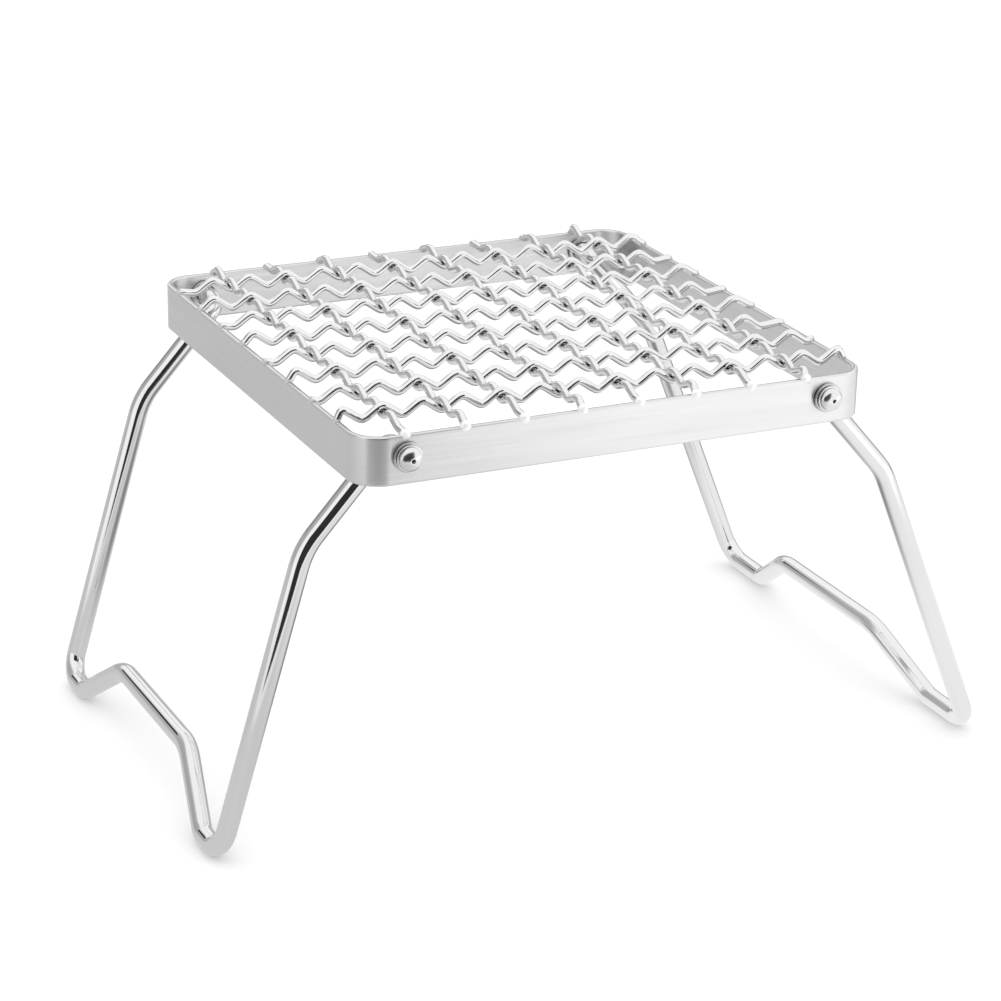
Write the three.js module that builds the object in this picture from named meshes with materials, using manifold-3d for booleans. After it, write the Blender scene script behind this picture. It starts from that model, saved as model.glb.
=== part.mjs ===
// Folding camp grill: a woven wire grate in a flat steel band, on two folding U-shaped wire legs.
// Millimetres, +Z up, floor at z = 0, +X to the right, +Y to the rear.
// The origin is the middle of the footprint on the floor.
import * as THREE from 'three';
import { mergeVertices } from 'three/addons/utils/BufferGeometryUtils.js';
import Module from 'manifold-3d';

const wasm = await Module();
wasm.setup();

// ---------------------------------------------------------------- driving dimensions

// Band: one flat strip bent into a rounded square
const FRAME_WIDTH = 141.2;        // outside, left to right
const FRAME_DEPTH = 141.2;        // outside, front to rear
const BAND_HEIGHT = 12.5;
const BAND_THICKNESS = 1.6;
const BAND_CORNER_RADIUS = 8.2;   // outside
const LEAST_CORNER_RADIUS = 0.5;    // of the band's inner corners, however thick the band
const GRATE_HEIGHT = 111;         // floor to the band's top edge

// Woven wire: rows run left to right, columns run front to rear
const WIRE_COUNT = 8;             // rows, and as many columns
const WIRE_DIAMETER = 2.1;
const LEFT_MARGIN = 12.4;         // band's inner face to the first column
const RIGHT_MARGIN = 15.2;
const FRONT_MARGIN = 12.5;        // band's inner face to the nearest row
const REAR_MARGIN = 15.1;
const WEAVE_TWIST_DEG = -1.4;     // the woven sheet sits slightly askew in the band
const WEAVE_LIFT = 1.0;           // middle of the weave above the band's top edge
const WIRE_END_LIFT = 0.1;        // wire ends' centres above the band's top edge
const ROW_CRIMP = 1.5;            // rows are crimped more deeply than columns
const CRIMPS_PER_PITCH = 3;       // half waves from one crossing to the next
const END_STRAIGHT = 1.2;         // straight run of a wire before it enters the band
const LAST_CREST_ROOM = 0.25;       // half waves left between the last crest and the straight end

// Legs: each one bent from a single wire. The left leg is narrower, so it folds inside the right.
const LEG_DIAMETER = 5.2;
const PIVOT_INSET = 12.5;         // band's outer side face to the pivot
const PIVOT_DROP = 5.4;           // band's top edge to the pivot
const UPPER_LENGTH = 33.2;        // pivot to knee
const LEFT_FOOT_OUT = 44.3;       // pivot to foot, measured sideways
const RIGHT_FOOT_OUT = 54.4;      // the right leg's knee is bent less, so it stands wider
const RIGHT_FOOT_SPLAY = 1.2;     // the right leg's feet are this much further out than its pivots
const RISE_HALF = 46.4;           // half the distance between the starts of the two rises
const BAR_HALF = 25.0;            // half the length of the raised middle bar
const BAR_RISE = 14.9;            // up the lower leg, from the feet to the raised bar
const PIN_BEND_RADIUS = 3.2;      // bend radii are those of the wire's centre line
const KNEE_BEND_RADIUS = 20;
const FOOT_BEND_RADIUS = 6.5;
const BAR_BEND_RADIUS = 13;       // at the two ends of the raised bar

// Pivot hardware
const WASHER_THICKNESS = 0.8;
const WASHER_DIAMETER = 7.6;
const CAP_DIAMETER = 6.8;
const CAP_HEIGHT = 2.6;
const CAP_FLANGE_HEIGHT = 0.8;
const CAP_CROWN = 1.1;            // height of the cap's rounded top
const CAP_GRIP = 0.9;             // length of leg wire inside the cap

// Clearances
const FACE_GAP = 0.3;             // between faces that meet
const HOLE_CLEARANCE = 0.3;       // around the leg wire, on the radius
const CROSSING_GAP = 0.4;         // between a row and a column where they cross
const NEST_GAP = 0.4;             // between the two legs' side wires, one inside the other
const SHOULDER_GAP = 0.4;         // on each side of an inner washer
const STOP_GAP = 0.3;             // between an open leg and the band's lower edge

// Fineness of the faceted solids
const WIRE_SIDES = 6;
const LEG_SIDES = 12;
const ROUND_SIDES = 32;
const CORNER_STEPS = 8;
const BEND_STEP_DEG = 18;
const CROWN_STEPS = 5;
const STOP_ANGLE_STEPS = 30;        // halvings in the search for the open angle
const MERGE_DISTANCE = 1e-4;        // vertices closer than this are one
const DRILL_MARGIN = 1;             // how far a drill reaches past the band on each side

// ---------------------------------------------------------------- derived dimensions

const halfWidth = FRAME_WIDTH / 2;
const halfDepth = FRAME_DEPTH / 2;
const innerHalfWidth = halfWidth - BAND_THICKNESS;
const innerHalfDepth = halfDepth - BAND_THICKNESS;
const innerCornerRadius = Math.max(BAND_CORNER_RADIUS - BAND_THICKNESS, LEAST_CORNER_RADIUS);
const bandBottom = GRATE_HEIGHT - BAND_HEIGHT;
const weaveMiddle = GRATE_HEIGHT + WEAVE_LIFT;
const wireRadius = WIRE_DIAMETER / 2;
const columnCrimp = WIRE_DIAMETER + CROSSING_GAP - ROW_CRIMP;
const columnPitch = (2 * innerHalfWidth - LEFT_MARGIN - RIGHT_MARGIN) / (WIRE_COUNT - 1);
const rowPitch = (2 * innerHalfDepth - FRONT_MARGIN - REAR_MARGIN) / (WIRE_COUNT - 1);
const weaveCentre = new THREE.Vector2((LEFT_MARGIN - RIGHT_MARGIN) / 2, (FRONT_MARGIN - REAR_MARGIN) / 2);
const weaveTwist = THREE.MathUtils.degToRad(WEAVE_TWIST_DEG);

const legRadius = LEG_DIAMETER / 2;
const holeRadius = legRadius + HOLE_CLEARANCE;
const pivotX = halfWidth - PIVOT_INSET;
const pivotZ = GRATE_HEIGHT - PIVOT_DROP;
const rightWireY = innerHalfDepth - WASHER_THICKNESS - 2 * SHOULDER_GAP - legRadius;
const leftWireY = rightWireY - LEG_DIAMETER - NEST_GAP;
const drillLength = FRAME_DEPTH + 2 * DRILL_MARGIN;
const outerWasherY = halfDepth + FACE_GAP;
const capY = outerWasherY + WASHER_THICKNESS + FACE_GAP;
const pinEndY = capY + CAP_GRIP;

// ---------------------------------------------------------------- materials

const brushedSteel = new THREE.MeshStandardMaterial({ color: 0xc9cacb, roughness: 0.38, metalness: 1 });
const wireSteel = new THREE.MeshStandardMaterial({ color: 0xd6d7d6, roughness: 0.24, metalness: 1 });
const polishedSteel = new THREE.MeshStandardMaterial({ color: 0xdfe0e0, roughness: 0.12, metalness: 1 });

// ---------------------------------------------------------------- helpers

// Straight pieces between given points, with one sweep step for each piece
class PointPath extends THREE.Curve {
  constructor(points) {
    super();
    this.points = points;
  }

  getPoint(t) {
    const place = THREE.MathUtils.clamp(t, 0, 1) * (this.points.length - 1);
    const start = Math.min(Math.floor(place), this.points.length - 2);
    return this.points[start].clone().lerp(this.points[start + 1], place - start);
  }

  getUtoTmapping(u) {
    return u;
  }
}

function regularPolygon(radius, sides) {
  const corners = [];
  for (let i = 0; i < sides; i++) {
    const angle = (i / sides) * 2 * Math.PI;
    corners.push(new THREE.Vector2(radius * Math.cos(angle), radius * Math.sin(angle)));
  }
  return new THREE.Shape(corners);
}

function sweep(points, radius, sides) {
  const path = new PointPath(points);
  return new THREE.ExtrudeGeometry(regularPolygon(radius, sides), {
    steps: points.length - 1,
    extrudePath: path,
  });
}

// Corner points joined by straight runs, each inner corner rounded to its own radius
function roundedRoute(corners) {
  const points = [corners[0].at];
  for (let i = 1; i < corners.length - 1; i++) {
    const { at, bend } = corners[i];
    const before = at.clone().sub(corners[i - 1].at).normalize();
    const after = corners[i + 1].at.clone().sub(at).normalize();
    const turn = before.angleTo(after);
    const inward = after.clone().addScaledVector(before, -Math.cos(turn)).normalize();
    const start = at.clone().addScaledVector(before, -bend * Math.tan(turn / 2));
    const steps = Math.max(1, Math.round(turn / THREE.MathUtils.degToRad(BEND_STEP_DEG)));
    for (let k = 0; k <= steps; k++) {
      const angle = (turn * k) / steps;
      points.push(start.clone()
        .addScaledVector(before, bend * Math.sin(angle))
        .addScaledVector(inward, bend * (1 - Math.cos(angle))));
    }
  }
  points.push(corners[corners.length - 1].at);
  return points;
}

function roundedRectangle(halfX, halfY, radius) {
  const outline = [];
  for (let quarter = 0; quarter < 4; quarter++) {
    const signX = quarter === 0 || quarter === 3 ? 1 : -1;
    const signY = quarter < 2 ? 1 : -1;
    for (let k = 0; k <= CORNER_STEPS; k++) {
      const angle = (quarter + k / CORNER_STEPS) * (Math.PI / 2);
      outline.push(new THREE.Vector2(
        signX * (halfX - radius) + radius * Math.cos(angle),
        signY * (halfY - radius) + radius * Math.sin(angle),
      ));
    }
  }
  return outline;
}

function toSolid(geometry) {
  const bare = geometry.clone();
  bare.deleteAttribute('normal');
  bare.deleteAttribute('uv');
  const merged = mergeVertices(bare, MERGE_DISTANCE);
  return new wasm.Manifold(new wasm.Mesh({
    numProp: 3,
    vertProperties: new Float32Array(merged.attributes.position.array),
    triVerts: new Uint32Array(merged.index.array),
  }));
}

function toGeometry(solid) {
  const mesh = solid.getMesh();
  const geometry = new THREE.BufferGeometry();
  geometry.setAttribute('position', new THREE.BufferAttribute(new Float32Array(mesh.vertProperties), 3));
  geometry.setIndex(new THREE.BufferAttribute(new Uint32Array(mesh.triVerts), 1));
  const faceted = geometry.toNonIndexed();
  faceted.computeVertexNormals();
  return faceted;
}

function named(name, geometry, material) {
  const mesh = new THREE.Mesh(geometry, material);
  mesh.name = name;
  return mesh;
}

// ---------------------------------------------------------------- woven wire

// Place of a point of the weave's own grid, in the band's frame
function weavePoint(alongX, alongY) {
  return new THREE.Vector2(alongX, alongY).rotateAround(new THREE.Vector2(), weaveTwist).add(weaveCentre);
}

const columnOffset = (index) => (index - (WIRE_COUNT - 1) / 2) * columnPitch;
const rowOffset = (index) => ((WIRE_COUNT - 1) / 2 - index) * rowPitch;   // row 0 is the rearmost
const rowIsOnTop = (row, column) => (row + column) % 2 === 1;

// Where the wire through `middle` along `direction` meets the band's faces at +-reach on one axis
function facePoints(middle, direction, axis, reach) {
  return [-1, 1].map((sign) => {
    const distance = (sign * reach - middle[axis]) / direction[axis];
    return middle.clone().addScaledVector(direction, distance);
  });
}

// One crimped wire: straight in the band at both ends, with a bend at each crest and trough between
function crimpedWire({ middle, direction, axis, outer, inner, phaseStart, pitch, crimp, startsHigh }) {
  const endZ = GRATE_HEIGHT + WIRE_END_LIFT;
  const ends = facePoints(middle, direction, axis, outer);
  const entries = facePoints(middle, direction, axis, inner - END_STRAIGHT);
  const halfWave = pitch / CRIMPS_PER_PITCH;
  const along = (point) => point.clone().sub(middle).dot(direction);
  const lowest = Math.ceil((along(entries[0]) - phaseStart) / halfWave + LAST_CREST_ROOM);
  const highest = Math.floor((along(entries[1]) - phaseStart) / halfWave - LAST_CREST_ROOM);
  const points = [
    new THREE.Vector3(ends[0].x, ends[0].y, endZ),
    new THREE.Vector3(entries[0].x, entries[0].y, endZ),
  ];
  for (let k = lowest; k <= highest; k++) {
    const place = middle.clone().addScaledVector(direction, phaseStart + k * halfWave);
    const high = (Math.abs(k) % 2 === 0) === startsHigh;
    points.push(new THREE.Vector3(place.x, place.y, weaveMiddle + (high ? crimp : -crimp)));
  }
  points.push(new THREE.Vector3(entries[1].x, entries[1].y, endZ));
  points.push(new THREE.Vector3(ends[1].x, ends[1].y, endZ));
  return sweep(points, wireRadius, WIRE_SIDES);
}

function rowWire(row) {
  return crimpedWire({
    middle: weavePoint(0, rowOffset(row)),
    direction: new THREE.Vector2(1, 0).rotateAround(new THREE.Vector2(), weaveTwist),
    axis: 'x',
    outer: halfWidth,
    inner: innerHalfWidth,
    phaseStart: columnOffset(0),
    pitch: columnPitch,
    crimp: ROW_CRIMP,
    startsHigh: rowIsOnTop(row, 0),
  });
}

function columnWire(column) {
  return crimpedWire({
    middle: weavePoint(columnOffset(column), 0),
    direction: new THREE.Vector2(0, 1).rotateAround(new THREE.Vector2(), weaveTwist),
    axis: 'y',
    outer: halfDepth,
    inner: innerHalfDepth,
    phaseStart: rowOffset(0),
    pitch: rowPitch,
    crimp: columnCrimp,
    startsHigh: !rowIsOnTop(0, column),
  });
}

// ---------------------------------------------------------------- band

// Slots in the band's top edge, one for each end of a row or column
function notchCutters() {
  const width = WIRE_DIAMETER + 2 * FACE_GAP;
  const depth = wireRadius + FACE_GAP - WIRE_END_LIFT;
  const length = 4 * BAND_THICKNESS;
  const top = WIRE_DIAMETER;
  const cutters = [];
  const addCutter = (place, turn) => {
    const box = new THREE.BoxGeometry(length, width, depth + top);
    box.rotateZ(turn);
    box.translate(place.x, place.y, GRATE_HEIGHT + (top - depth) / 2);
    cutters.push(toSolid(box));
  };
  const rowDirection = new THREE.Vector2(1, 0).rotateAround(new THREE.Vector2(), weaveTwist);
  const columnDirection = new THREE.Vector2(0, 1).rotateAround(new THREE.Vector2(), weaveTwist);
  for (let i = 0; i < WIRE_COUNT; i++) {
    const rowEnds = facePoints(weavePoint(0, rowOffset(i)), rowDirection, 'x', halfWidth);
    rowEnds.forEach((place) => addCutter(place, weaveTwist));
    const columnEnds = facePoints(weavePoint(columnOffset(i), 0), columnDirection, 'y', halfDepth);
    columnEnds.forEach((place) => addCutter(place, weaveTwist + Math.PI / 2));
  }
  return cutters;
}

function bandFrame() {
  const outline = new THREE.Shape(roundedRectangle(halfWidth, halfDepth, BAND_CORNER_RADIUS));
  outline.holes.push(new THREE.Path(roundedRectangle(innerHalfWidth, innerHalfDepth, innerCornerRadius)));
  const ring = new THREE.ExtrudeGeometry(outline, { depth: BAND_HEIGHT, bevelEnabled: false });
  ring.translate(0, 0, bandBottom);
  let solid = toSolid(ring);
  for (const side of [-1, 1]) {
    const drill = new THREE.CylinderGeometry(holeRadius, holeRadius, drillLength, ROUND_SIDES);
    drill.translate(side * pivotX, 0, pivotZ);
    solid = solid.subtract(toSolid(drill));
  }
  for (const cutter of notchCutters()) {
    solid = solid.subtract(cutter);
  }
  return toGeometry(solid);
}

// ---------------------------------------------------------------- legs

// An open leg leans on the inside of the band's lower edge. This is the angle from vertical at
// which the wider leg clears that edge, near the corner, by the stop gap.
function openAngle() {
  const edge = roundedRectangle(innerHalfWidth, innerHalfDepth, innerCornerRadius)
    .filter((point) => point.x > 0 && point.y > 0)
    .map((point) => new THREE.Vector3(point.x, point.y, bandBottom));
  edge.push(new THREE.Vector3(innerHalfWidth, rightWireY - legRadius, bandBottom));
  const pivot = new THREE.Vector3(pivotX, rightWireY, pivotZ);
  const clears = (angle) => {
    const direction = new THREE.Vector3(Math.sin(angle), 0, -Math.cos(angle));
    const centreLine = new THREE.Ray(pivot, direction);
    return edge.every((point) => centreLine.distanceToPoint(point) >= legRadius + STOP_GAP);
  };
  let open = 0;
  let blocked = Math.PI / 2;
  for (let i = 0; i < STOP_ANGLE_STEPS; i++) {
    const middle = (open + blocked) / 2;
    if (clears(middle)) {
      open = middle;
    } else {
      blocked = middle;
    }
  }
  return open;
}

// One end of a leg's route, from the pin at the front (end -1) or rear (end 1) to the raised bar
function halfLeg({ side, wireY, footOut, footSplay }, end) {
  const lean = openAngle();
  const kneeX = pivotX + UPPER_LENGTH * Math.sin(lean);
  const kneeZ = pivotZ - UPPER_LENGTH * Math.cos(lean);
  const footX = pivotX + footOut;
  const upLeg = new THREE.Vector2(kneeX - footX, kneeZ - legRadius).normalize();
  const barX = footX + BAR_RISE * upLeg.x;
  const barZ = legRadius + BAR_RISE * upLeg.y;
  const point = (x, y, z) => new THREE.Vector3(side * x, end * y, z);
  return [
    { at: point(pivotX, pinEndY, pivotZ) },
    { at: point(pivotX, wireY, pivotZ), bend: PIN_BEND_RADIUS },
    { at: point(kneeX, wireY, kneeZ), bend: KNEE_BEND_RADIUS },
    { at: point(footX, wireY + footSplay, legRadius), bend: FOOT_BEND_RADIUS },
    { at: point(footX, RISE_HALF, legRadius), bend: FOOT_BEND_RADIUS },
    { at: point(barX, BAR_HALF, barZ), bend: BAR_BEND_RADIUS },
  ];
}

function leg(shape) {
  const route = [...halfLeg(shape, -1), ...halfLeg(shape, 1).reverse()];
  return sweep(roundedRoute(route), legRadius, LEG_SIDES);
}

// ---------------------------------------------------------------- pivot hardware

// Flat ring around the leg wire, its lower face at y = 0
function washer() {
  const profile = [
    new THREE.Vector2(holeRadius, 0),
    new THREE.Vector2(WASHER_DIAMETER / 2, 0),
    new THREE.Vector2(WASHER_DIAMETER / 2, WASHER_THICKNESS),
    new THREE.Vector2(holeRadius, WASHER_THICKNESS),
    new THREE.Vector2(holeRadius, 0),
  ];
  return new THREE.LatheGeometry(profile, ROUND_SIDES);
}

// Push-on cap with a blind hole for the leg wire's end, its open face at y = 0
function cap() {
  const radius = CAP_DIAMETER / 2;
  const gripDepth = CAP_GRIP + FACE_GAP;
  const shoulder = CAP_HEIGHT - CAP_CROWN;
  const profile = [
    new THREE.Vector2(0, gripDepth),
    new THREE.Vector2(holeRadius, gripDepth),
    new THREE.Vector2(holeRadius, 0),
    new THREE.Vector2(radius, 0),
    new THREE.Vector2(radius, CAP_FLANGE_HEIGHT),
  ];
  for (let k = 0; k <= CROWN_STEPS; k++) {
    const angle = (k / CROWN_STEPS) * (Math.PI / 2);
    profile.push(new THREE.Vector2(radius * Math.cos(angle), shoulder + CAP_CROWN * Math.sin(angle)));
  }
  profile[profile.length - 1].x = 0;
  return new THREE.LatheGeometry(profile, ROUND_SIDES);
}

// Washer or cap on a pivot, its lower face at the distance fromMiddle from the grate's middle
function onPivot(name, geometry, material, side, end, fromMiddle) {
  const mesh = named(name, geometry, material);
  mesh.position.set(side * pivotX, end * fromMiddle, pivotZ);
  mesh.rotation.x = end < 0 ? Math.PI : 0;
  return mesh;
}

// ---------------------------------------------------------------- assembly

const group = new THREE.Group();
const grate = new THREE.Group();
group.add(grate);

grate.add(named('band_frame', bandFrame(), brushedSteel));
for (let i = 0; i < WIRE_COUNT; i++) {
  grate.add(named(`grid_row_${i + 1}`, rowWire(i), wireSteel));
  grate.add(named(`grid_column_${i + 1}`, columnWire(i), wireSteel));
}

const legs = [
  { name: 'left', side: -1, wireY: leftWireY, footOut: LEFT_FOOT_OUT, footSplay: 0 },
  { name: 'right', side: 1, wireY: rightWireY, footOut: RIGHT_FOOT_OUT, footSplay: RIGHT_FOOT_SPLAY },
];
const ends = [
  { name: 'front', end: -1 },
  { name: 'rear', end: 1 },
];
for (const shape of legs) {
  const { name, side } = shape;
  const legGroup = new THREE.Group();
  group.add(legGroup);
  legGroup.add(named(`${name}_leg`, leg(shape), polishedSteel));
  for (const { name: place, end } of ends) {
    const label = `${name}_${place}`;
    const innerWasherY = innerHalfDepth - SHOULDER_GAP - WASHER_THICKNESS;
    grate.add(onPivot(`${label}_inner_washer`, washer(), polishedSteel, side, end, innerWasherY));
    grate.add(onPivot(`${label}_outer_washer`, washer(), polishedSteel, side, end, outerWasherY));
    legGroup.add(onPivot(`${label}_cap`, cap(), polishedSteel, side, end, capY));
  }
}

// The origin lies midway between the two feet's outer edges
group.position.x = (LEFT_FOOT_OUT - RIGHT_FOOT_OUT) / 2;

export default group;
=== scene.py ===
import math

import bpy
from mathutils import Matrix, Vector, noise


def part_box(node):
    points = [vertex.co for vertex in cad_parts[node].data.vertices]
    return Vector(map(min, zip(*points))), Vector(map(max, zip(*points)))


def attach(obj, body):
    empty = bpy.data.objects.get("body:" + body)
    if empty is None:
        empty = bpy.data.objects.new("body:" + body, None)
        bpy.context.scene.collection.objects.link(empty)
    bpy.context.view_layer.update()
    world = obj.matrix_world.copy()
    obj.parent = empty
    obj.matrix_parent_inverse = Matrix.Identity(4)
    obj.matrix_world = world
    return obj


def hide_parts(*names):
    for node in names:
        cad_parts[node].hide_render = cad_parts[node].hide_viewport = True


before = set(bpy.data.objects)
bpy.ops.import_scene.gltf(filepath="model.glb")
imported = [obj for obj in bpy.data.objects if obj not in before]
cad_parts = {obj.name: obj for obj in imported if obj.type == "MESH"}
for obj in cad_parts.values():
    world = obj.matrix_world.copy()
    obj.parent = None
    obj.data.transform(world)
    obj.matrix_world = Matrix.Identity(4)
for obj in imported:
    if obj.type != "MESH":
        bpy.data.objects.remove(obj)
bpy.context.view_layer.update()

MM = 0.001

# ---------------------------------------------------------------- sizes that the CAD boxes don't give

BAND_THICKNESS = 1.6 * MM
BAND_CORNER_RADIUS = 8.2 * MM
BAND_EDGE_RADIUS = 0.42 * MM
BAND_EDGE_HOLD = 0.25 * MM    # a second line of points this far from a rounded edge keeps faces flat
BAND_RIPPLE = 0.03 * MM       # how far the band's faces wander from flat
RIPPLES_PER_METRE = (45, 30, 100)    # along the band, up it and through it
RIPPLE_START = 3.0            # place in the noise where the ripples are taken from
EDGE_LINE_WIDTH = 0.4 * MM    # painted shade, a dark line along the inner edge of the band's top
EDGE_LINE_PAINTED_SHADE = 1.0

WIRE_COUNT = 8                # rows, and as many columns
WIRE_RADIUS = 1.05 * MM
WEAVE_LIFT = 1.0 * MM         # middle of the weave above the band's top edge
WIRE_END_LIFT = 0.1 * MM      # wire ends' centres above the band's top edge
WEAVE_TWIST = math.radians(-1.4)
ROW_CRIMP = 1.42 * MM
COLUMN_CRIMP = 0.85 * MM
CRIMP_SHARPNESS = 0.8         # 0 is a plain wave, 1 a zigzag
CRIMPS_PER_PITCH = 3          # half waves from one crossing to the next
CROSSING_SHADE_CORE = 0.75 * MM      # painted shade where the wires touch: full this near, none at the reach
CROSSING_SHADE_REACH = 1.7 * MM
LAST_CREST_ROOM = 0.02        # least room between a wire's last crest and the band, in half waves
LANDING = 0.6                 # share of the band's thickness over which a wire still comes down
WIRE_END_ROUNDING = 0.25 * MM
BEAD_SIZE = Vector((1.10, 1.50, 1.50)) * MM    # half sizes of a weld: through the band, along it, up
BEAD_LUMPS = 0.16             # how uneven the welds are
BEAD_LUMP_SCALE = 1.7
BEAD_LUMP_SHIFT = 7.3         # from one weld to the next, so that no two are alike
SIDE_WELD_PAINTED_SHADE = 0.45              # painted shade on every weld but the front ones, which are bright
SHADED_BEAD_SCALE = 0.8
BEAD_INSET = 0.25 * MM        # from the wire's end inwards to the middle of its weld
BEAD_SINK = 0.15 * MM         # from the band's top edge down to the middle of a weld
WIRE_END_INSET = 0.5 * MM     # wire ends stop short of the band's outer face, under their welds

LEG_RADIUS = 2.6 * MM
UPPER_LENGTH = 33.2 * MM      # pivot to knee
UPPER_LEAN = math.radians(41.6)
FOOT_OUT = {"left": 44.3 * MM, "right": 54.4 * MM}    # pivot to foot, measured sideways
FOOT_SPLAY = {"left": 0.0, "right": 1.2 * MM}
WIRE_INSET = {"left": 11.4 * MM, "right": 5.8 * MM}    # band's outer face to the side wire's centre
RISE_HALF = 46.4 * MM         # half the distance between the starts of the two rises
BAR_HALF = 25.0 * MM          # half the length of the raised middle bar
BAR_RISE = 14.9 * MM          # up the lower leg, from the feet to the raised bar
PIN_BEND_RADIUS = 3.2 * MM
KNEE_BEND_RADIUS = 20 * MM
FOOT_BEND_RADIUS = 6.5 * MM
BAR_BEND_RADIUS = 13 * MM
LEG_END_ROUNDING = 0.3 * MM

WASHER_CLEARANCE = 0.3 * MM   # around the leg wire, on the radius
WASHER_EDGE_RADIUS = 0.2 * MM
CAP_GRIP = 0.9 * MM           # length of leg wire inside the cap
CAP_CLEARANCE = 0.1 * MM      # around that wire and past its end
CAP_FLANGE = 0.62 * MM        # height of the flange
CAP_EDGE_RADIUS = 0.2 * MM
CAP_GROOVE_DEPTH = 0.55 * MM
CAP_GROOVE_SLOPES = (0.04 * MM, 0.12 * MM)     # rise of the groove's lower and upper sides
DOME_START = 0.92 * MM        # height at which the button's dome begins
DOME_SETBACK = 0.35 * MM      # of the button's edge from the flange's
DOME_END_DEG = 72             # from the button's edge to the rim of the punch mark
MARK_RIM = ((0.80 * MM, 0.02 * MM), (0.56 * MM, 0.08 * MM))       # (radius, depth below the top)
MARK_HOLE = ((0.44 * MM, 0.34 * MM), (0.16 * MM, 0.50 * MM))

# how finely the meshes are divided
BAND_CORNER_STEPS = 24
BAND_STRAIGHT_STEPS = 14
BAND_EDGE_STEPS = 4
WIRE_SIDES = 14
WIRE_STEP = 0.42 * MM
WIRE_END_STEPS = 4
LEG_SIDES = 40
BEND_STEP_DEG = 4
BEAD_STEPS = (20, 10)         # round a bead, and from its top to its bottom
LATHE_STEPS = 56
WASHER_EDGE_STEPS = 3
CAP_EDGE_STEPS = 4
DOME_STEPS = 12
SHARP_DEG = 40                # an edge that turns more than this is drawn sharp
BAND_SHARP_DEG = 60

SIDES = ("left", "right")
ENDS = ("front", "rear")

band_low, band_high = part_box("band_frame")
half_width = (band_high.x - band_low.x) / 2
half_depth = (band_high.y - band_low.y) / 2
band_x = (band_low.x + band_high.x) / 2
band_top = band_high.z

# ---------------------------------------------------------------- camera

CAMERA_PLACE = Vector((-347.06, -710.69, 365.15)) * MM
CAMERA_AZIMUTH = math.radians(-25.762)
CAMERA_ELEVATION = math.radians(21.116)
CAMERA_ROLL = math.radians(1.321)
CAMERA_LENS_MM = 112.46
CAMERA_SENSOR_MM = 36
CAMERA_CLIP = (0.01, 50)


def make_camera():
    data = bpy.data.cameras.new("camera")
    data.lens = CAMERA_LENS_MM
    data.sensor_width = CAMERA_SENSOR_MM
    data.clip_start, data.clip_end = CAMERA_CLIP
    camera = bpy.data.objects.new("camera", data)
    bpy.context.scene.collection.objects.link(camera)
    turn = Matrix.Rotation(CAMERA_AZIMUTH, 4, "Z")
    tilt = Matrix.Rotation(math.pi / 2 - CAMERA_ELEVATION, 4, "X")
    roll = Matrix.Rotation(CAMERA_ROLL, 4, "Z")
    camera.matrix_world = Matrix.Translation(CAMERA_PLACE) @ turn @ tilt @ roll
    bpy.context.scene.camera = camera


# ---------------------------------------------------------------- node helpers


def add_node(tree, kind, **settings):
    node = tree.nodes.new(kind)
    for name, value in settings.items():
        setattr(node, name, value)
    return node


def link(tree, source, node, socket):
    tree.links.new(source, node.inputs[socket])


def math_node(tree, operation, first, second):
    node = add_node(tree, "ShaderNodeMath", operation=operation)
    for socket, value in enumerate((first, second)):
        if isinstance(value, (int, float)):
            node.inputs[socket].default_value = value
        else:
            link(tree, value, node, socket)
    return node.outputs[0]


def map_range(tree, value, source, target, smooth=False):
    node = add_node(tree, "ShaderNodeMapRange")
    node.interpolation_type = "SMOOTHSTEP" if smooth else "LINEAR"
    link(tree, value, node, "Value")
    node.inputs["From Min"].default_value = source[0]
    node.inputs["From Max"].default_value = source[1]
    node.inputs["To Min"].default_value = target[0]
    node.inputs["To Max"].default_value = target[1]
    return node.outputs["Result"]


# ---------------------------------------------------------------- surroundings

# What the polished metal mirrors is a studio that only reflections see: a bright room with a grey
# far side, a pale table top that darkens behind the grill, and a black flag in front of it. The
# spans say where one light gives way to the next: in the room as shares of a unit direction, on
# the table as places in metres.
ROOM_LIGHT = 1.3
ROOM_FAR_LIGHT = 0.62
ROOM_FAR_SPAN = (-0.1, 0.45)          # of a direction's Y
ROOM_LOW_SPAN = (0.2, 0.34)           # of its Z
ROOM_PATCHES = (
    # degrees round, degrees up, inner and outer radius in degrees, light
    (-127, 27, 10, 40, 0.55),
    (-154, 20, 3, 8, 0.04),
)
TABLE_FRONT_LIGHT = (0.90, 1.32)      # well in front of the grill, at the left and at the right
TABLE_NEAR_LIGHT = (0.68, 0.97)       # close to its front feet
TABLE_FAR_LIGHT = (0.62, 0.80, 0.45)  # behind it: at the left, in the middle and at the right
# painted shadow of the grill on the mirrored table, seen in the wires' undersides
TABLE_UNDER_LIGHT = 0.28
TABLE_FRONT_SPAN = (-0.08, 0.20)      # in X, between the front lights
TABLE_NEAR_SPAN = (-0.08, 0.08)       # in X, between the near lights
TABLE_NEARING_SPAN = (-0.30, -0.22)   # in Y, from front to near
TABLE_LEFT_SPAN = (-0.14, -0.08)      # in X, from far left to middle
TABLE_RIGHT_SPAN = (0.0, 0.07)        # in X, from middle to far right
TABLE_REAR_SPAN = (0.03, 0.15)        # in Y, from near to far
TABLE_UNDER_SPAN = (0.03, 0.10)       # from the middle outwards
TABLE_HEIGHT = -0.0005                # just below the floor
TABLE_REACH = 6.0
FLAG_Y = -0.33
FLAG_OUTLINE = (
    # (x, z)
    (-0.52, 0.004),
    (-0.16, 0.004),
    (-0.03, 0.03),
    (0.07, 0.105),
    (0.11, 0.32),
    (-0.44, 0.32),
)
FLAG_LIGHT = 0.03
FLOOR_REACH = 14.0
FLOOR_COLOUR = 0.97
FLOOR_LIGHT = 1.5             # plain light that the floor and the background get


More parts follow.
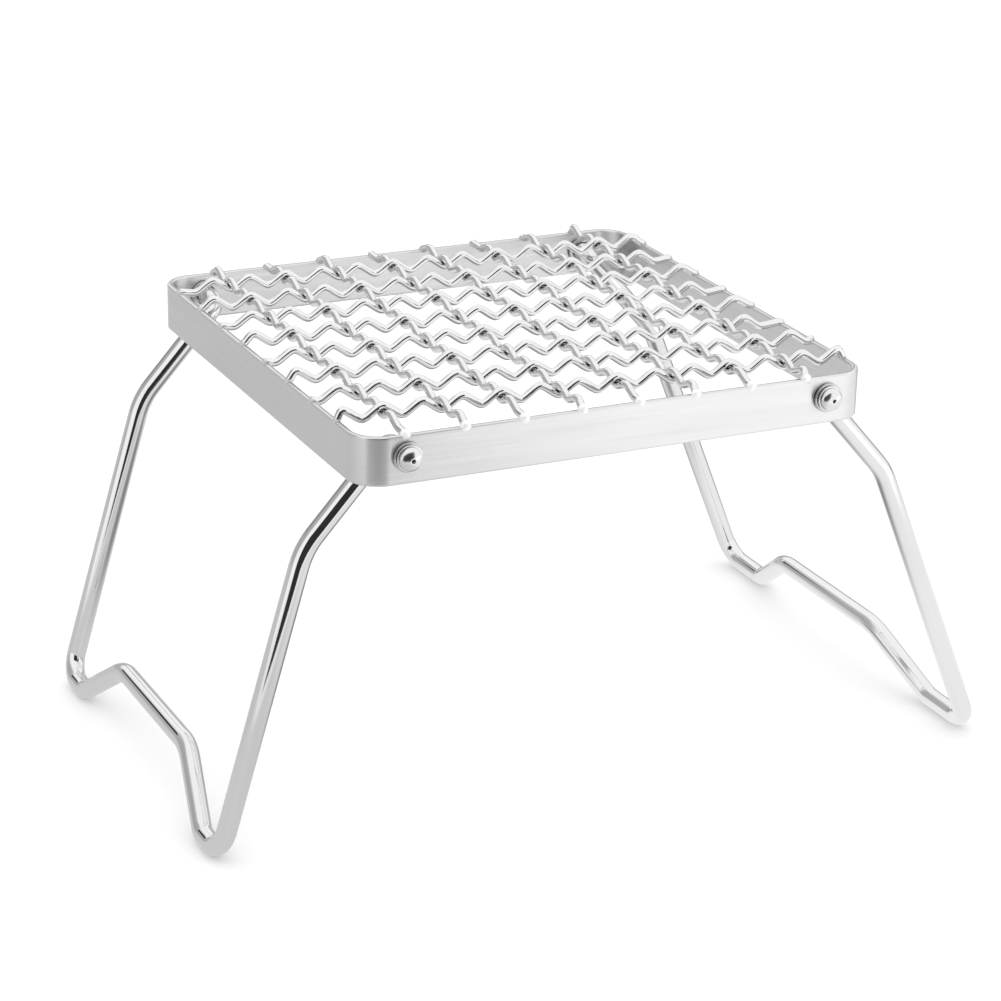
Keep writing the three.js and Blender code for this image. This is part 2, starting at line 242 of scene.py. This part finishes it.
def direction(round_deg, up_deg):
    """Unit vector: degrees round from the front towards the right, degrees above the horizon."""
    turn, rise = math.radians(round_deg), math.radians(up_deg)
    level = math.cos(rise)
    return Vector((math.sin(turn) * level, -math.cos(turn) * level, math.sin(rise)))


def mixed(tree, share, first, second):
    """first where share is 0, second where it is 1."""
    step = math_node(tree, "MULTIPLY", math_node(tree, "SUBTRACT", second, first), share)
    return math_node(tree, "ADD", first, step)


def make_world():
    world = bpy.data.worlds.new("studio")
    bpy.context.scene.world = world
    world.use_nodes = True
    tree = world.node_tree
    tree.nodes.clear()
    place = add_node(tree, "ShaderNodeTexCoord")
    split = add_node(tree, "ShaderNodeSeparateXYZ")
    link(tree, place.outputs["Generated"], split, 0)
    far = map_range(tree, split.outputs["Y"], ROOM_FAR_SPAN, (0, 1), smooth=True)
    low = map_range(tree, split.outputs["Z"], ROOM_LOW_SPAN, (1, 0), smooth=True)
    level = mixed(tree, math_node(tree, "MULTIPLY", far, low), ROOM_LIGHT, ROOM_FAR_LIGHT)
    for round_deg, up_deg, inner, outer, patch_light in ROOM_PATCHES:
        dot = add_node(tree, "ShaderNodeVectorMath", operation="DOT_PRODUCT")
        link(tree, place.outputs["Generated"], dot, 0)
        dot.inputs[1].default_value = direction(round_deg, up_deg)
        edges = (math.cos(math.radians(outer)), math.cos(math.radians(inner)))
        share = map_range(tree, dot.outputs["Value"], edges, (0, 1), smooth=True)
        level = mixed(tree, share, level, patch_light)
    mirrored = add_node(tree, "ShaderNodeBackground")
    link(tree, level, mirrored, "Strength")
    plain = add_node(tree, "ShaderNodeBackground")
    plain.inputs["Strength"].default_value = FLOOR_LIGHT
    path = add_node(tree, "ShaderNodeLightPath")
    choice = add_node(tree, "ShaderNodeMixShader")
    link(tree, path.outputs["Is Glossy Ray"], choice, 0)
    link(tree, plain.outputs[0], choice, 1)
    link(tree, mirrored.outputs[0], choice, 2)
    output = add_node(tree, "ShaderNodeOutputWorld")
    link(tree, choice.outputs[0], output, 0)


def stage_sheet(name, corners, material):
    mesh = bpy.data.meshes.new(name)
    mesh.from_pydata(corners, [], [tuple(range(len(corners)))])
    mesh.materials.append(material)
    sheet = bpy.data.objects.new(name, mesh)
    bpy.context.scene.collection.objects.link(sheet)
    return sheet


def seen_in_metal_only(sheet):
    sheet.visible_camera = False
    sheet.visible_diffuse = False
    sheet.visible_shadow = False
    sheet.visible_transmission = False
    sheet.visible_volume_scatter = False


def glow(name):
    """A material that only emits, and the emission node to set its strength on."""
    material = bpy.data.materials.new(name)
    material.use_nodes = True
    tree = material.node_tree
    tree.nodes.clear()
    emission = add_node(tree, "ShaderNodeEmission")
    output = add_node(tree, "ShaderNodeOutputMaterial")
    link(tree, emission.outputs[0], output, "Surface")
    return material, tree, emission


def square(reach, height):
    signs = ((-1, -1), (1, -1), (1, 1), (-1, 1))
    return [(x * reach, y * reach, height) for x, y in signs]


def make_floor():
    paper = bpy.data.materials.new("floor_paper")
    paper.use_nodes = True
    shader = paper.node_tree.nodes["Principled BSDF"]
    shader.inputs["Base Color"].default_value = (FLOOR_COLOUR, FLOOR_COLOUR, FLOOR_COLOUR, 1)
    shader.inputs["Roughness"].default_value = 1
    shader.inputs["Specular IOR Level"].default_value = 0
    floor = stage_sheet("floor", square(FLOOR_REACH, 0), paper)
    floor.visible_glossy = False


def make_mirrored_table():
    material, tree, emission = glow("table_glow")
    place = add_node(tree, "ShaderNodeNewGeometry")
    split = add_node(tree, "ShaderNodeSeparateXYZ")
    link(tree, place.outputs["Position"], split, 0)
    x, y = split.outputs["X"], split.outputs["Y"]
    front = map_range(tree, x, TABLE_FRONT_SPAN, TABLE_FRONT_LIGHT, smooth=True)
    near = map_range(tree, x, TABLE_NEAR_SPAN, TABLE_NEAR_LIGHT, smooth=True)
    near = mixed(tree, map_range(tree, y, TABLE_NEARING_SPAN, (0, 1), smooth=True), front, near)
    left, middle, right = TABLE_FAR_LIGHT
    far = map_range(tree, x, TABLE_LEFT_SPAN, (left, middle), smooth=True)
    far = mixed(tree, map_range(tree, x, TABLE_RIGHT_SPAN, (0, 1), smooth=True), far, right)
    level = mixed(tree, map_range(tree, y, TABLE_REAR_SPAN, (0, 1), smooth=True), near, far)
    distance = add_node(tree, "ShaderNodeVectorMath", operation="LENGTH")
    link(tree, place.outputs["Position"], distance, 0)
    under = map_range(tree, distance.outputs["Value"], TABLE_UNDER_SPAN, (1, 0), smooth=True)
    link(tree, mixed(tree, under, level, TABLE_UNDER_LIGHT), emission, "Strength")
    seen_in_metal_only(stage_sheet("mirrored_table", square(TABLE_REACH, TABLE_HEIGHT), material))


def make_flag():
    material, tree, emission = glow("flag_glow")
    emission.inputs["Strength"].default_value = FLAG_LIGHT
    corners = [(x, FLAG_Y, z) for x, z in FLAG_OUTLINE]
    seen_in_metal_only(stage_sheet("front_flag", corners, material))


# ---------------------------------------------------------------- materials

# Every piece's mesh carries a "grain" vector: metres along the way it was drawn, rolled or turned,
# then two measures across it. The scratches and brush lines follow it round every bend. Each also
# carries a share of painted shade from 0 to 1, which darkens its colour where shade falls.

FULL_PAINTED_SHADE = 0.10          # how much of the steel's brightness is left where the painted shade is full
NOISE_SPAN = (0.3, 0.7)       # where nearly all of a noise texture's values lie
NOISE_ROUGHNESS = 0.6
FINE_LINES = (0.02, 1.0, 3)   # shares of the line scale along and across the grain, noise detail
COARSE_LINES = (0.008, 0.3, 2)
FINE_SHARE = 0.6              # of the fine lines, where fine and coarse ones add up
PATCHES = (14, 300, 3)        # in each metre along and across the grain, noise detail
LINE_ROUGHNESS = (0.8, 1.25)  # least and greatest share of a steel's roughness, from its lines
PATCH_ROUGHNESS = (0.93, 1.08)
LINE_STAIN = (-0.6, 0.4)      # shares of a steel's stain, taken off its brightness or added to it
PATCH_STAIN = (0.5, -0.5)
LEVEL_LINES_TURN = 0.25       # a quarter turn, so that highlights spread across level lines


def steel(name, colour, roughness, line_depth, line_scale, stain, spread=0.0, metallic=1.0):
    """Bare steel with fine lines along its grain, a patchy roughness and faint stains. line_scale is
    the number of lines in a metre across the grain, and spread draws highlights out upwards, across
    lines that run level."""
    material = bpy.data.materials.new(name)
    material.use_nodes = True
    tree = material.node_tree
    shader = tree.nodes["Principled BSDF"]
    shader.inputs["Metallic"].default_value = metallic
    shader.inputs["Anisotropic"].default_value = spread
    if spread:
        level_lines = add_node(tree, "ShaderNodeTangent", direction_type="RADIAL", axis="Z")
        link(tree, level_lines.outputs[0], shader, "Tangent")
        shader.inputs["Anisotropic Rotation"].default_value = LEVEL_LINES_TURN
    grain = add_node(tree, "ShaderNodeAttribute", attribute_name="grain")

    def lines(along, across, detail):
        stretch = add_node(tree, "ShaderNodeVectorMath", operation="MULTIPLY")
        link(tree, grain.outputs["Vector"], stretch, 0)
        stretch.inputs[1].default_value = (along, across, across)
        texture = add_node(tree, "ShaderNodeTexNoise")
        link(tree, stretch.outputs[0], texture, "Vector")
        texture.inputs["Scale"].default_value = 1
        texture.inputs["Detail"].default_value = detail
        texture.inputs["Roughness"].default_value = NOISE_ROUGHNESS
        return texture.outputs["Fac"]

    def scaled_lines(along_share, across_share, detail):
        return lines(line_scale * along_share, line_scale * across_share, detail)

    fine = math_node(tree, "MULTIPLY", scaled_lines(*FINE_LINES), FINE_SHARE)
    coarse = math_node(tree, "MULTIPLY", scaled_lines(*COARSE_LINES), 1 - FINE_SHARE)
    both = math_node(tree, "ADD", fine, coarse)
    patches = lines(*PATCHES)
    rough_lines = map_range(tree, both, NOISE_SPAN, [roughness * share for share in LINE_ROUGHNESS])
    rough_patches = map_range(tree, patches, NOISE_SPAN, PATCH_ROUGHNESS)
    link(tree, math_node(tree, "MULTIPLY", rough_lines, rough_patches), shader, "Roughness")
    shade_lines = map_range(tree, both, NOISE_SPAN, [1 + stain * share for share in LINE_STAIN])
    shade_patches = map_range(tree, patches, NOISE_SPAN, [1 + stain * share for share in PATCH_STAIN])
    # painted shade: each point's share darkens the steel's colour
    painted_shade = add_node(tree, "ShaderNodeAttribute", attribute_name="painted_shade")
    painted_darkening = map_range(tree, painted_shade.outputs["Fac"], (0, 1), (1, FULL_PAINTED_SHADE), smooth=True)
    shade = math_node(tree, "MULTIPLY", math_node(tree, "MULTIPLY", shade_lines, shade_patches), painted_darkening)
    shaded = add_node(tree, "ShaderNodeVectorMath", operation="SCALE")
    shaded.inputs[0].default_value = (colour, colour, colour)
    link(tree, shade, shaded, "Scale")
    link(tree, shaded.outputs[0], shader, "Base Color")
    bump = add_node(tree, "ShaderNodeBump")
    bump.inputs["Strength"].default_value = 1
    bump.inputs["Distance"].default_value = line_depth
    link(tree, both, bump, "Height")
    link(tree, bump.outputs[0], shader, "Normal")
    return material


# ---------------------------------------------------------------- mesh helpers


def make_piece(name, points, faces, grain, material, sharp_deg=SHARP_DEG, painted_shade=None):
    """A mesh object, with each point's share of painted shade given from 0 to 1."""
    mesh = bpy.data.meshes.new(name)
    mesh.from_pydata([tuple(p) for p in points], [], faces)
    mesh.validate()
    store = mesh.attributes.new("grain", "FLOAT_VECTOR", "POINT")
    store.data.foreach_set("vector", [part for g in grain for part in g])
    depth = mesh.attributes.new("painted_shade", "FLOAT", "POINT")
    depth.data.foreach_set("value", painted_shade or [0.0] * len(points))
    mesh.polygons.foreach_set("use_smooth", [True] * len(mesh.polygons))
    mesh.set_sharp_from_angle(angle=math.radians(sharp_deg))
    mesh.materials.append(material)
    piece = bpy.data.objects.new(name, mesh)
    bpy.context.scene.collection.objects.link(piece)
    return piece


def rings_to_faces(ring_count, size, closed):
    """Quads between rings of vertices, all rings having `size` vertices in the same order."""
    faces = []
    for i in range(ring_count if closed else ring_count - 1):
        a, b = i * size, ((i + 1) % ring_count) * size
        for k in range(size):
            n = (k + 1) % size
            faces.append((a + k, a + n, b + n, b + k))
    return faces


def round_end(place, outward, radius, rounding):
    """Centres and radii of the rings that round a wire's end off, from the full radius outwards."""
    rings = []
    for k in range(1, WIRE_END_STEPS + 1):
        angle = (k / WIRE_END_STEPS) * math.pi / 2
        centre = place + outward * rounding * math.sin(angle)
        rings.append((centre, radius - rounding * (1 - math.cos(angle))))
    return rings


def tube(route, radius, sides, rounding):
    """Points, faces and grain of a round wire along a route, both ends rounded off."""
    start, finish = (route[0] - route[1]).normalized(), (route[-1] - route[-2]).normalized()
    first, last = route[0] - start * rounding, route[-1] - finish * rounding
    line = [(first, radius)] + [(p, radius) for p in route[1:-1]] + [(last, radius)]
    line = list(reversed(round_end(first, start, radius, rounding))) + line
    line += round_end(last, finish, radius, rounding)
    points, grain = [], []
    ahead = (route[1] - route[0]).normalized()
    across = ahead.orthogonal().normalized()
    along = 0.0
    for i, (place, size) in enumerate(line):
        if i:
            along += (place - line[i - 1][0]).length
        before = (place - line[i - 1][0]).normalized() if i else ahead
        after = (line[i + 1][0] - place).normalized() if i < len(line) - 1 else before
        middle = (before + after).normalized()
        across = ahead.rotation_difference(middle) @ across
        ahead = middle
        other = ahead.cross(across)
        for k in range(sides):
            angle = 2 * math.pi * k / sides
            c, s = math.cos(angle), math.sin(angle)
            points.append(place + (across * c + other * s) * size)
            grain.append((along, c * radius, s * radius))
    faces = rings_to_faces(len(line), sides, closed=False)
    faces.append(tuple(reversed(range(sides))))
    faces.append(tuple(range(len(points) - sides, len(points))))
    return points, faces, grain


def rounded_route(corners):
    """Corner points (place, bend radius) joined by straight runs, each inner corner rounded."""
    route = [corners[0][0]]
    for i in range(1, len(corners) - 1):
        place, bend = corners[i]
        before = (place - corners[i - 1][0]).normalized()
        after = (corners[i + 1][0] - place).normalized()
        turn = before.angle(after)
        inward = (after - before * math.cos(turn)).normalized()
        start = place - before * bend * math.tan(turn / 2)
        steps = max(2, round(math.degrees(turn) / BEND_STEP_DEG))
        for k in range(steps + 1):
            angle = turn * k / steps
            ahead, aside = bend * math.sin(angle), bend * (1 - math.cos(angle))
            route.append(start + before * ahead + inward * aside)
    route.append(corners[-1][0])
    return route


def lathe(profile, closed):
    """Points, faces and grain of a profile (radius, height) turned about +Y. Flat faces close an
    open profile's first and last rings."""
    points, grain = [], []
    for radius, height in profile:
        for k in range(LATHE_STEPS):
            angle = 2 * math.pi * k / LATHE_STEPS
            points.append(Vector((radius * math.cos(angle), height, -radius * math.sin(angle))))
            grain.append((angle * LEG_RADIUS, radius, height))
    faces = rings_to_faces(len(profile), LATHE_STEPS, closed)
    if not closed:
        faces.append(tuple(reversed(range(LATHE_STEPS))))
        faces.append(tuple(range(len(points) - LATHE_STEPS, len(points))))
    return points, faces, grain


def arc(centre, radius, start_deg, end_deg, steps):
    """Points (x, y) of an arc, both ends included."""
    found = []
    for k in range(steps + 1):
        angle = math.radians(start_deg + (end_deg - start_deg) * k / steps)
        found.append((centre[0] + radius * math.cos(angle), centre[1] + radius * math.sin(angle)))
    return found


# ---------------------------------------------------------------- band


def band_outline():
    """(place, outward normal) round the band's outer face, anticlockwise from above."""
    straight_x, straight_y = half_width - BAND_CORNER_RADIUS, half_depth - BAND_CORNER_RADIUS
    corners = ((1, 1), (-1, 1), (-1, -1), (1, -1))
    line = []
    for quarter, (sign_x, sign_y) in enumerate(corners):
        centre = Vector((band_x + sign_x * straight_x, sign_y * straight_y))
        for k in range(BAND_CORNER_STEPS + 1):
            angle = (quarter + k / BAND_CORNER_STEPS) * math.pi / 2
            outward = Vector((math.cos(angle), math.sin(angle)))
            line.append((centre + outward * BAND_CORNER_RADIUS, outward))
        next_x, next_y = corners[(quarter + 1) % 4]
        run = Vector(((next_x - sign_x) * straight_x, (next_y - sign_y) * straight_y))
        end, outward = line[-1]
        shares = [k / BAND_STRAIGHT_STEPS for k in range(1, BAND_STRAIGHT_STEPS)]
        line += [(end + run * share, outward) for share in shares]
    return line


def band_section():
    """(depth in from the outer face, height, share of painted shade) round the strip's section, long
    edges rounded.
    """
    r, hold, steps = BAND_EDGE_RADIUS, BAND_EDGE_HOLD, BAND_EDGE_STEPS
    low, high, deep = band_low.z, band_high.z, BAND_THICKNESS
    section = arc((r, low + r), r, 180, 270, steps) + arc((deep - r, low + r), r, 270, 360, steps)
    section += [(deep, low + r + hold), (deep, high - r - hold)]
    section += arc((deep - r, high - r), r, 0, 90, steps)
    # painted shade: a dark line along the inner edge of the band's top
    edge_line = len(section)
    section += [(deep - r - EDGE_LINE_WIDTH / 2, high), (deep - r - EDGE_LINE_WIDTH, high)]
    section += arc((r, high - r), r, 90, 180, steps)
    section += [(0, high - r - hold), (0, low + r + hold)]
    return [(*spot, EDGE_LINE_PAINTED_SHADE if k == edge_line else 0.0) for k, spot in enumerate(section)]


def ripple(along, height, depth):
    """How far the band's face stands out of flat at a place, between -BAND_RIPPLE and BAND_RIPPLE."""
    per_along, per_up, per_through = RIPPLES_PER_METRE
    spot = Vector((along * per_along, height * per_up, RIPPLE_START + depth * per_through))
    return noise.noise(spot) * BAND_RIPPLE


def make_band(material):
    line, section = band_outline(), band_section()
    points, grain, painted_darkening = [], [], []
    along = 0.0
    for i, (place, outward) in enumerate(line):
        if i:
            along += (place - line[i - 1][0]).length
        for depth, height, shade_share in section:
            spot = place - outward * (depth - ripple(along, height, depth))
            points.append(Vector((spot.x, spot.y, height)))
            grain.append((along, depth, height))
            painted_darkening.append(shade_share)
    faces = rings_to_faces(len(line), len(section), closed=True)
    band = make_piece("steel_band", points, faces, grain, material, BAND_SHARP_DEG, painted_darkening)
    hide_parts("band_frame")
    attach(band, "frame")


# ---------------------------------------------------------------- woven wire

FRONT_END_TURN = math.pi / 2  # inward direction at a column's front end
twist = math.tan(WEAVE_TWIST)
row_y = [sum(corner.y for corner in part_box(f"grid_row_{i + 1}")) / 2 for i in range(WIRE_COUNT)]
column_x = [sum(corner.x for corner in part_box(f"grid_column_{i + 1}")) / 2 for i in range(WIRE_COUNT)]


def crossing(row, column):
    """Where a row and a column cross, seen from above."""
    y0, x0 = row_y[row], column_x[column]
    x = (x0 - y0 * twist + band_x * twist * twist) / (1 + twist * twist)
    return Vector((x, y0 + (x - band_x) * twist))


def crimp(place):
    """Height of a crimped wire between -1 and 1, `place` half waves on from a crest: straight
    slopes between rounded crests."""
    return math.asin(CRIMP_SHARPNESS * math.cos(math.pi * place)) / math.asin(CRIMP_SHARPNESS)


def crimped_route(start, finish, inner_start, inner_finish, crest, half_wave, height, starts_high):
    """A wire from start to finish that passes the band's inner faces at inner_start and
    inner_finish. It is crimped between those faces, with a crest or trough at `crest`, and comes
    down to its ends' height on the band."""
    ahead = (finish - start).normalized()
    level, end_level = band_top + WEAVE_LIFT, band_top + WIRE_END_LIFT
    origin = (crest - start).dot(ahead)
    entries = [(p - start).dot(ahead) for p in (inner_start, inner_finish)]
    lowest = math.ceil((entries[0] - origin) / half_wave + LAST_CREST_ROOM)
    highest = math.floor((entries[1] - origin) / half_wave - LAST_CREST_ROOM)
    first, last = origin + lowest * half_wave, origin + highest * half_wave
    landings = (entries[0] - BAND_THICKNESS * LANDING, entries[1] + BAND_THICKNESS * LANDING)
    sign = 1 if starts_high else -1

    def height_at(distance):
        inside = min(max(distance, first), last)
        full = level + sign * height * crimp((inside - origin) / half_wave)
        if distance < first:
            share = min(1, (first - distance) / (first - landings[0]))
        elif distance > last:
            share = min(1, (distance - last) / (landings[1] - last))
        else:
            return full
        ease = (1 - math.cos(math.pi * share)) / 2
        return full + (end_level - full) * ease

    length = (finish - start).length
    steps = round(length / WIRE_STEP)
    route = []
    for k in range(steps + 1):
        distance = length * k / steps
        spot = start + ahead * distance
        route.append(Vector((spot.x, spot.y, height_at(distance))))
    return route


def crossing_painted_shade(points, touches):
    """Each point's share of painted shade where the wires cross: 1 where two wires touch, 0 from the
    reach on.
    """
    shares = []
    for point in points:
        nearest = min((point - touch).length for touch in touches)
        shares.append(min(1, max(0, (CROSSING_SHADE_REACH - nearest) / (CROSSING_SHADE_REACH - CROSSING_SHADE_CORE))))
    return shares


def touching_points(pairs):
    """Where rows and columns touch. The row is on top where row + column is odd."""
    found = []
    for row, column in pairs:
        spot = crossing(row, column)
        side = 1 if (row + column) % 2 == 1 else -1
        height = band_top + WEAVE_LIFT + side * (ROW_CRIMP - COLUMN_CRIMP) / 2
        found.append(Vector((spot.x, spot.y, height)))
    return found


def make_mesh_wire(name, node, route, touches, material):
    points, faces, grain = tube(route, WIRE_RADIUS, WIRE_SIDES, WIRE_END_ROUNDING)
    painted_darkening = crossing_painted_shade(points, touches)
    wire = make_piece(name, points, faces, grain, material, painted_shade=painted_darkening)
    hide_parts(node)
    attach(wire, "frame")


def make_rows_and_columns(material, bead_material):
    """All the mesh wires, and the welds at their ends."""
    outer_x, outer_y = half_width - WIRE_END_INSET, half_depth - WIRE_END_INSET
    inner_x, inner_y = half_width - BAND_THICKNESS, half_depth - BAND_THICKNESS
    ends = []
    last = WIRE_COUNT - 1
    for i in range(WIRE_COUNT):
        reaches = (-outer_x, outer_x, -inner_x, inner_x)
        on_row = [Vector((band_x + x, row_y[i] + x * twist)) for x in reaches]
        half_wave = (crossing(i, last) - crossing(i, 0)).length / last / CRIMPS_PER_PITCH
        route = crimped_route(*on_row, crossing(i, 0), half_wave, ROW_CRIMP, i % 2 == 1)
        touches = touching_points([(i, column) for column in range(WIRE_COUNT)])
        make_mesh_wire(f"row_wire_{i + 1}", f"grid_row_{i + 1}", route, touches, material)
        ends += [(route[0], 0.0), (route[-1], math.pi)]
        reaches = (-outer_y, outer_y, -inner_y, inner_y)
        on_column = [Vector((column_x[i] - y * twist, y)) for y in reaches]
        half_wave = (crossing(0, i) - crossing(last, i)).length / last / CRIMPS_PER_PITCH
        starts_high = (last + i) % 2 == 0
        route = crimped_route(*on_column, crossing(last, i), half_wave, COLUMN_CRIMP, starts_high)
        touches = touching_points([(row, i) for row in range(WIRE_COUNT)])
        make_mesh_wire(f"column_wire_{i + 1}", f"grid_column_{i + 1}", route, touches, material)
        ends += [(route[0], FRONT_END_TURN), (route[-1], -math.pi / 2)]
    make_weld_beads(ends, bead_material)


def make_weld_beads(ends, material):
    """The small pools of weld metal that hold each wire's end in the band's top edge. ends has each
    end's place and the direction, in radians, from it towards the other end."""
    points, faces, grain, painted_darkening = [], [], [], []
    around, up = BEAD_STEPS
    for index, (place, turn) in enumerate(ends):
        inward = Vector((math.cos(turn), math.sin(turn), 0))
        middle = place + inward * BEAD_INSET
        middle.z = band_top - BEAD_SINK
        side = Vector((-inward.y, inward.x, 0))
        base = len(points)
        unshaded = turn == FRONT_END_TURN
        for i in range(up + 1):
            polar = math.pi * i / up
            for k in range(around):
                angle = 2 * math.pi * k / around
                level = math.sin(polar)
                unit = Vector((level * math.cos(angle), level * math.sin(angle), math.cos(polar)))
                shift = Vector((index * BEAD_LUMP_SHIFT, 0, 0))
                lump = 1 + BEAD_LUMPS * noise.noise(unit * BEAD_LUMP_SCALE + shift)
                size = BEAD_SIZE * (lump if unshaded else lump * SHADED_BEAD_SCALE)
                upward = Vector((0, 0, unit.z * size.z))
                points.append(middle + inward * unit.x * size.x + side * unit.y * size.y + upward)
                grain.append((angle * MM, polar * MM, index * MM))
                # painted shade on the side and rear welds; the front ones are left bright
                painted_darkening.append(0.0 if unshaded else SIDE_WELD_PAINTED_SHADE)
        faces += [tuple(base + n for n in face) for face in rings_to_faces(up + 1, around, closed=False)]
    beads = make_piece("weld_beads", points, faces, grain, material, painted_shade=painted_darkening)
    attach(beads, "frame")


# ---------------------------------------------------------------- legs and pivots


def pivot_of(side):
    low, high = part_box(f"{side}_front_cap")
    return (low.x + high.x) / 2, (low.z + high.z) / 2


def cap_face(side, end):
    """Distance from the middle of the grate to a cap's open face."""
    low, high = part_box(f"{side}_{end}_cap")
    return min(abs(low.y), abs(high.y))


def leg_route(side):
    out = -1 if side == "left" else 1
    pivot_x, pivot_z = pivot_of(side)
    wire_y = half_depth - WIRE_INSET[side]
    knee_out, knee_drop = UPPER_LENGTH * math.sin(UPPER_LEAN), UPPER_LENGTH * math.cos(UPPER_LEAN)
    knee = Vector((pivot_x + out * knee_out, 0, pivot_z - knee_drop))
    foot = Vector((pivot_x + out * FOOT_OUT[side], 0, LEG_RADIUS))
    bar = foot + (knee - foot).normalized() * BAR_RISE

    def half(sign, pin_end):
        return [
            (Vector((pivot_x, sign * pin_end, pivot_z)), 0),
            (Vector((pivot_x, sign * wire_y, pivot_z)), PIN_BEND_RADIUS),
            (Vector((knee.x, sign * wire_y, knee.z)), KNEE_BEND_RADIUS),
            (Vector((foot.x, sign * (wire_y + FOOT_SPLAY[side]), foot.z)), FOOT_BEND_RADIUS),
            (Vector((foot.x, sign * RISE_HALF, foot.z)), FOOT_BEND_RADIUS),
            (Vector((bar.x, sign * BAR_HALF, bar.z)), BAR_BEND_RADIUS),
        ]

    front = half(-1, cap_face(side, "front") + CAP_GRIP)
    rear = half(1, cap_face(side, "rear") + CAP_GRIP)
    return rounded_route(front + rear[::-1])


def make_leg(side, material):
    points, faces, grain = tube(leg_route(side), LEG_RADIUS, LEG_SIDES, LEG_END_ROUNDING)
    leg = make_piece(f"{side}_leg_wire", points, faces, grain, material)
    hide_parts(f"{side}_leg")
    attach(leg, f"{side}_leg")


def washer_profile(low, high):
    """Section of a washer with rounded edges, from the CAD washer's box. None of it has painted shade.
    """
    outer, inner, thick = (high.x - low.x) / 2, LEG_RADIUS + WASHER_CLEARANCE, high.y - low.y
    r, steps = WASHER_EDGE_RADIUS, WASHER_EDGE_STEPS
    profile = arc((outer - r, r), r, -90, 0, steps) + arc((outer - r, thick - r), r, 0, 90, steps)
    profile += arc((inner + r, thick - r), r, 90, 180, steps) + arc((inner + r, r), r, 180, 270, steps)
    return profile, []


def cap_profile(low, high):
    """Section of a push-on cap: a flange, a groove, and a domed button with a punch mark. Painted
    shade darkens the groove and the mark, whose points are also given on their own."""
    outer, tall = (high.x - low.x) / 2, high.y - low.y
    bore, depth = LEG_RADIUS + CAP_CLEARANCE, CAP_GRIP + CAP_CLEARANCE
    groove, button = outer - CAP_GROOVE_DEPTH, outer - DOME_SETBACK
    edge = CAP_EDGE_RADIUS
    profile = [(0, depth), (bore, depth), (bore, 0)]
    profile += arc((outer - edge, edge), edge, -90, 0, CAP_EDGE_STEPS)
    profile += arc((outer - edge, CAP_FLANGE - edge), edge, 0, 90, CAP_EDGE_STEPS)
    lower_slope, upper_slope = CAP_GROOVE_SLOPES
    groove_floor = [(groove, CAP_FLANGE + lower_slope), (groove, DOME_START - upper_slope)]
    profile += groove_floor
    rise = tall - DOME_START
    for k in range(DOME_STEPS + 1):
        angle = math.radians(DOME_END_DEG * k / DOME_STEPS)
        profile.append((button * math.cos(angle), DOME_START + rise * math.sin(angle)))
    profile += [(radius, tall - below) for radius, below in MARK_RIM]
    mark = [(radius, tall - below) for radius, below in MARK_HOLE]
    return profile + mark, groove_floor + mark


def make_on_pivot(name, node, body, side, end, profile, closed, material):
    """A turned piece on a pivot, its lower face towards the grate's middle."""
    low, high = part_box(node)
    section, shaded_spots = profile(low, high)
    points, faces, grain = lathe(section, closed)
    # painted shade in the caps' grooves and punch marks
    painted_darkening = [float(spot in shaded_spots) for spot in section for _ in range(LATHE_STEPS)]
    sign = -1 if end == "front" else 1
    base = min(abs(low.y), abs(high.y))
    pivot_x, pivot_z = pivot_of(side)
    points = [Vector((pivot_x + sign * p.x, sign * (base + p.y), pivot_z + p.z)) for p in points]
    piece = make_piece(name, points, faces, grain, material, painted_shade=painted_darkening)
    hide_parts(node)
    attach(piece, body)


def make_pivots(washer_material, cap_material):
    for side in SIDES:
        for end in ENDS:
            place = f"{side}_{end}"
            for layer in ("inner", "outer"):
                node = f"{place}_{layer}_washer"
                make_on_pivot(f"{place}_{layer}_ring", node, "frame", side, end, washer_profile,
                              closed=True, material=washer_material)
            make_on_pivot(f"{place}_button", f"{place}_cap", f"{side}_leg", side, end, cap_profile,
                          closed=False, material=cap_material)


# ---------------------------------------------------------------- the scene

make_camera()
make_world()
make_floor()
make_mirrored_table()
make_flag()
bpy.context.scene.view_settings.view_transform = "Standard"

# colour, roughness, depth of the lines, lines in a metre, stain
brushed = steel("brushed_band", 0.80, 0.30, 0.0004 * MM, 2000, 0.035, spread=0.8)
drawn = steel("drawn_wire", 0.86, 0.08, 0.001 * MM, 3200, 0.06)
bead = steel("weld_metal", 0.96, 0.50, 0.004 * MM, 1500, 0.04, metallic=0.45)
polished = steel("polished_leg", 0.84, 0.06, 0.0006 * MM, 2400, 0.05)
turned = steel("turned_cap", 0.84, 0.20, 0.001 * MM, 3000, 0.06)
stamped = steel("stamped_washer", 0.60, 0.16, 0.002 * MM, 2600, 0.10)

make_band(brushed)
make_rows_and_columns(drawn, bead)
for leg_side in SIDES:
    make_leg(leg_side, polished)
make_pivots(stamped, turned)
